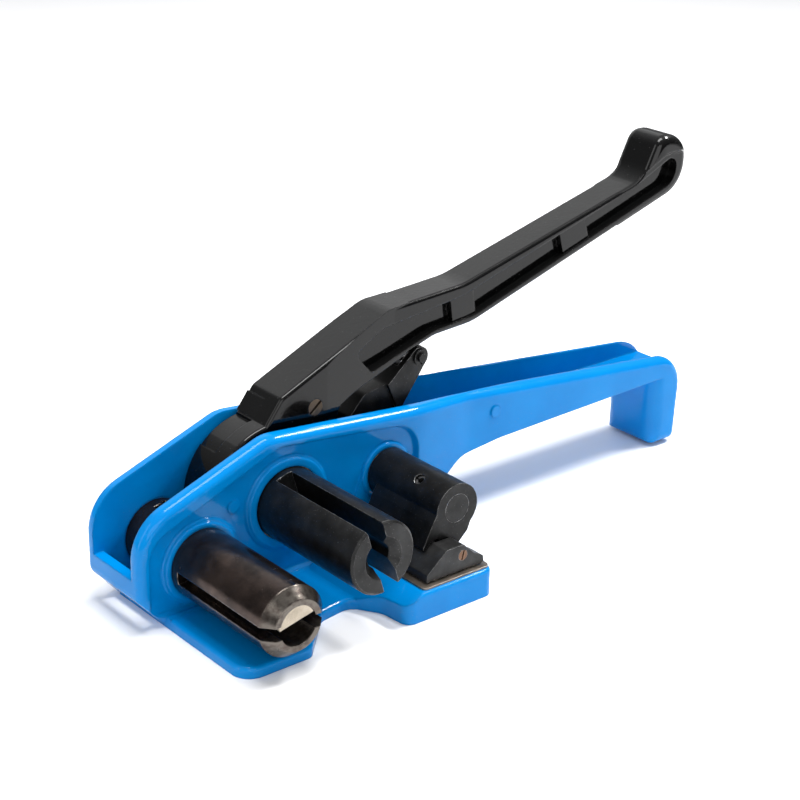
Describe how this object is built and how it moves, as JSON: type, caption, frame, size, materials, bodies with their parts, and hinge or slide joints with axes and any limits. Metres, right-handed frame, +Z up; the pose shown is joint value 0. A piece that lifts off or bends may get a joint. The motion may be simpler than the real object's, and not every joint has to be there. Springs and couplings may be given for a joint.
{
  "type": "strapping tensioner",
  "caption": "Hand windlass tensioner for steel strapping: ratchet handle, slotted windlass, sprung gripper foot and built-in cutter in a cast frame.",
  "frame": {"origin": "on the resting plane, below the windlass axis, midway between the side plates", "axes": "+X from the cutter to the handle end, -Y the open side the shafts reach out of, +Z up"},
  "size_m": [0.2598, 0.094, 0.1291],
  "materials": {
    "blue_enamel": "gloss enamel on a steel casting",
    "black_enamel": "gloss enamel with fine orange peel",
    "black_oxide": "black oxide, worn bright on the edges",
    "burnished_steel": "burnished brown, heat stained",
    "nickel_steel": "ground bright, warm tint",
    "bright_steel": "ground and hardened",
    "dark_steel": "hardened, oiled",
    "foot_steel": "dark phosphate",
    "brown_steel": "browned screw steel",
    "coppered_steel": "copper-tinted screw steel",
    "black_screw": "black screw steel",
    "spring_steel": "hardened spring wire and clips",
    "bronze": "sintered bronze bearing"
  },
  "bodies": {
    "frame": {"frame_casting": "blue_enamel", "grip_plate": "bright_steel", "grip_plate_screws": "black_screw", "cutter_sleeve": "burnished_steel", "sleeve_lock_screw": "black_screw", "windlass_bush_near": "bronze", "windlass_bush_far": "bronze", "gripper_bushes": "bronze", "holding_pawl_pin": "dark_steel", "holding_pawl_spring": "spring_steel", "gripper_return_spring": "spring_steel", "cutter_return_spring": "spring_steel"},
    "cutter": {"cutter_rod": "nickel_steel", "cutter_key": "dark_steel", "cutter_retaining_ring": "spring_steel"},
    "windlass": {"windlass_shaft": "black_oxide", "ratchet_wheel": "dark_steel", "wheel_keys": "bright_steel", "windlass_washer": "bright_steel", "windlass_retaining_ring": "spring_steel"},
    "handle": {"handle_casting": "black_enamel", "handle_bushes": "bronze", "pawl_pivot_screw": "brown_steel", "cutter_striker": "dark_steel", "striker_pin": "black_screw", "drive_pawl_spring": "spring_steel"},
    "drive_pawl": {"drive_pawl": "dark_steel"},
    "holding_pawl": {"holding_pawl": "dark_steel"},
    "gripper": {"gripper_shaft": "black_oxide", "gripper_arm": "black_oxide", "arm_spring_pin": "spring_steel", "gripper_lever": "black_oxide", "lever_spring_pin": "spring_steel", "roller_pin": "black_screw", "roller_clips": "black_screw", "gripper_retaining_ring": "spring_steel"},
    "roller": {"lever_roller": "bright_steel"},
    "foot": {"gripper_foot": "foot_steel", "foot_screw": "coppered_steel"}
  },
  "joints": [
    {"name": "windlass_turn", "type": "hinge", "parent": "frame", "child": "windlass", "pos_m": [0, 0, 0.031], "axis": [0, 1, 0], "continuous": true},
    {"name": "handle_swing", "type": "hinge", "parent": "frame", "child": "handle", "pos_m": [0, 0, 0.031], "axis": [0, -1, 0], "range_deg": [0, 90]},
    {"name": "drive_pawl_lift", "type": "hinge", "parent": "handle", "child": "drive_pawl", "pos_m": [0.017, 0, 0.0595], "axis": [0, -1, 0], "range_deg": [0, 7], "stiffness_Nm_per_rad": 0.05, "springref_deg": -22.92, "deforming": ["drive_pawl_spring"]},
    {"name": "holding_pawl_lift", "type": "hinge", "parent": "frame", "child": "holding_pawl", "pos_m": [0.026, 0, 0.014], "axis": [0, -1, 0], "range_deg": [0, 10], "stiffness_Nm_per_rad": 0.05, "springref_deg": -22.92, "deforming": ["holding_pawl_spring"]},
    {"name": "gripper_open", "type": "hinge", "parent": "frame", "child": "gripper", "pos_m": [0.043, 0, 0.031], "axis": [0, 1, 0], "range_deg": [0, 14], "stiffness_Nm_per_rad": 3, "springref_deg": -28.65, "deforming": ["gripper_return_spring"]},
    {"name": "roller_spin", "type": "hinge", "parent": "gripper", "child": "roller", "pos_m": [0.0652, 0, 0.0662], "axis": [0, 1, 0], "continuous": true},
    {"name": "foot_tilt", "type": "hinge", "parent": "gripper", "child": "foot", "pos_m": [0.0396, -0.0415, 0.0172], "axis": [0, 1, 0], "range_deg": [-14, 0]},
    {"name": "cutter_turn", "type": "hinge", "parent": "frame", "child": "cutter", "pos_m": [-0.0355, 0, 0.0195], "axis": [0, 1, 0], "range_deg": [0, 35], "stiffness_Nm_per_rad": 0.4, "springref_deg": -28.65, "deforming": ["cutter_return_spring"]}
  ],
  "couplings": [
    {"joint": "foot_tilt", "follows": "gripper_open", "ratio": -1}
  ]
}
